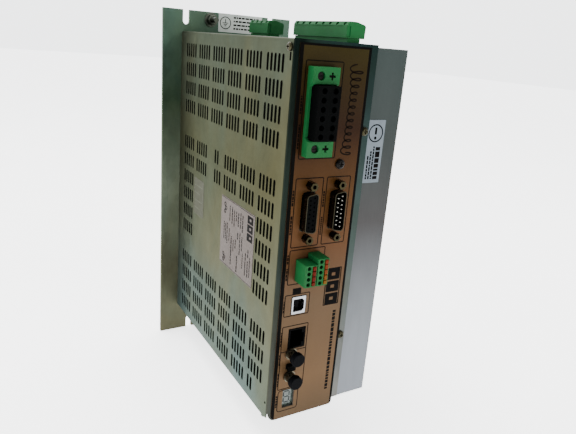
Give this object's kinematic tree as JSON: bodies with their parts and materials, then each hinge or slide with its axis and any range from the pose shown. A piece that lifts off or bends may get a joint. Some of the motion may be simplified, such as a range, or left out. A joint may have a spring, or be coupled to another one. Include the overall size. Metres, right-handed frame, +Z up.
{
  "type": "servo drive",
  "caption": "Panel-mounted servo drive: finned heatsink, slotted sheet-metal cover, narrow front panel, pull-off power and signal plugs with release levers, capped fibre ports.",
  "frame": {"origin": "centre of the mounting plate's back face, where it rests on the cabinet panel", "axes": "+X right seen from the front, +Y from the front panel into the mounting panel, +Z up along the plate's length"},
  "size_m": [0.114, 0.1987, 0.285],
  "materials": {
    "plate_zinc": "zinc-plated sheet, dull, faint roll marks",
    "heatsink_aluminium": "extruded, matt etched",
    "zinc_sheet": "yellowish zinc-plated sheet, satin",
    "front_zinc": "blue zinc-plated sheet",
    "copper_label": "copper-brown printed overlay with black border and outlines",
    "board": "solder mask",
    "plated_steel": "zinc-plated fastener",
    "capacitor_sleeve": "shrink sleeve",
    "black_plastic": "glass-filled moulding",
    "winding_tape": "polyester tape over ferrite",
    "green_plastic": "moulded polyamide",
    "tinned_contact": "tinned copper alloy",
    "dark_screw": "black oxide",
    "shell_metal": "tinned steel shell",
    "jackscrew_metal": "yellow-passivated hexagon",
    "insulator_plastic": "moulded insulator",
    "gold_contact": "gold-plated spring contact",
    "display_lens": "grey-green seven-segment display face",
    "yellow_zinc": "yellow-passivated pan-head screw",
    "grey_label": "printed polyester label",
    "white_label": "printed polyester label",
    "cap_rubber": "push-on dust cap",
    "orange_plastic": "spring-release lever"
  },
  "bodies": {
    "drive": {"mounting_plate": "plate_zinc", "heatsink": "heatsink_aluminium", "side_cover": "zinc_sheet", "top_cover": "zinc_sheet", "bottom_cover": "zinc_sheet", "front_panel": "front_zinc", "front_bracket": "front_zinc", "front_label": "copper_label", "control_board": "board", "interface_board": "board", "power_board": "board", "board_standoffs": "plated_steel", "bus_capacitors": "capacitor_sleeve", "power_module": "black_plastic", "transformer": "winding_tape", "motor_header": "green_plastic", "supply_header": "green_plastic", "power_pins": "tinned_contact", "aux_header": "green_plastic", "aux_screws": "dark_screw", "feedback_shell": "shell_metal", "feedback_insulator": "black_plastic", "interface_shell": "shell_metal", "interface_insulator": "black_plastic", "interface_pins": "tinned_contact", "jackscrews": "jackscrew_metal", "signal_header_a": "green_plastic", "signal_header_b": "green_plastic", "signal_pins": "tinned_contact", "usb_shell": "shell_metal", "usb_tongue": "insulator_plastic", "network_jack": "black_plastic", "network_contacts": "gold_contact", "fibre_port_a": "shell_metal", "fibre_port_b": "shell_metal", "segment_display": "display_lens", "panel_screw": "dark_screw", "case_screws": "yellow_zinc", "plate_screws": "plated_steel", "earth_stud": "plated_steel", "earth_nut": "plated_steel", "rating_label": "grey_label", "caution_label": "white_label", "earth_label": "white_label"},
    "motor_plug": {"motor_plug": "green_plastic"},
    "supply_plug": {"supply_plug": "green_plastic"},
    "aux_plug": {"aux_plug": "black_plastic"},
    "signal_plug_a": {"signal_plug_a": "green_plastic"},
    "signal_plug_b": {"signal_plug_b": "green_plastic"},
    "dust_cap_a": {"dust_cap_a": "cap_rubber"},
    "dust_cap_b": {"dust_cap_b": "cap_rubber"},
    "lever_a1": {"lever_a1": "orange_plastic"},
    "lever_a2": {"lever_a2": "orange_plastic"},
    "lever_a3": {"lever_a3": "orange_plastic"},
    "lever_a4": {"lever_a4": "orange_plastic"},
    "lever_b1": {"lever_b1": "orange_plastic"},
    "lever_b2": {"lever_b2": "orange_plastic"},
    "lever_b3": {"lever_b3": "orange_plastic"},
    "lever_b4": {"lever_b4": "orange_plastic"},
    "lever_b5": {"lever_b5": "orange_plastic"}
  },
  "joints": [
    {"name": "motor_plug_pull", "type": "slide", "parent": "drive", "child": "motor_plug", "axis": [0, 0, 1], "range_m": [0, 0.014]},
    {"name": "supply_plug_pull", "type": "slide", "parent": "drive", "child": "supply_plug", "axis": [0, 0, 1], "range_m": [0, 0.014]},
    {"name": "aux_plug_pull", "type": "slide", "parent": "drive", "child": "aux_plug", "axis": [0, -1, 0], "range_m": [0, 0.016]},
    {"name": "signal_plug_a_pull", "type": "slide", "parent": "drive", "child": "signal_plug_a", "axis": [0, -1, 0], "range_m": [0, 0.01]},
    {"name": "signal_plug_b_pull", "type": "slide", "parent": "drive", "child": "signal_plug_b", "axis": [0, -1, 0], "range_m": [0, 0.01]},
    {"name": "dust_cap_a_pull", "type": "slide", "parent": "drive", "child": "dust_cap_a", "axis": [0, -1, 0], "range_m": [0, 0.01]},
    {"name": "dust_cap_b_pull", "type": "slide", "parent": "drive", "child": "dust_cap_b", "axis": [0, -1, 0], "range_m": [0, 0.01]},
    {"name": "lever_a1_press", "type": "slide", "parent": "signal_plug_a", "child": "lever_a1", "axis": [0, 1, 0], "range_m": [0, 0.0012], "stiffness_N_per_m": 1500, "springref_m": -0.0006},
    {"name": "lever_a2_press", "type": "slide", "parent": "signal_plug_a", "child": "lever_a2", "axis": [0, 1, 0], "range_m": [0, 0.0012], "stiffness_N_per_m": 1500, "springref_m": -0.0006},
    {"name": "lever_a3_press", "type": "slide", "parent": "signal_plug_a", "child": "lever_a3", "axis": [0, 1, 0], "range_m": [0, 0.0012], "stiffness_N_per_m": 1500, "springref_m": -0.0006},
    {"name": "lever_a4_press", "type": "slide", "parent": "signal_plug_a", "child": "lever_a4", "axis": [0, 1, 0], "range_m": [0, 0.0012], "stiffness_N_per_m": 1500, "springref_m": -0.0006},
    {"name": "lever_b1_press", "type": "slide", "parent": "signal_plug_b", "child": "lever_b1", "axis": [0, 1, 0], "range_m": [0, 0.0012], "stiffness_N_per_m": 1500, "springref_m": -0.0006},
    {"name": "lever_b2_press", "type": "slide", "parent": "signal_plug_b", "child": "lever_b2", "axis": [0, 1, 0], "range_m": [0, 0.0012], "stiffness_N_per_m": 1500, "springref_m": -0.0006},
    {"name": "lever_b3_press", "type": "slide", "parent": "signal_plug_b", "child": "lever_b3", "axis": [0, 1, 0], "range_m": [0, 0.0012], "stiffness_N_per_m": 1500, "springref_m": -0.0006},
    {"name": "lever_b4_press", "type": "slide", "parent": "signal_plug_b", "child": "lever_b4", "axis": [0, 1, 0], "range_m": [0, 0.0012], "stiffness_N_per_m": 1500, "springref_m": -0.0006},
    {"name": "lever_b5_press", "type": "slide", "parent": "signal_plug_b", "child": "lever_b5", "axis": [0, 1, 0], "range_m": [0, 0.0012], "stiffness_N_per_m": 1500, "springref_m": -0.0006}
  ]
}
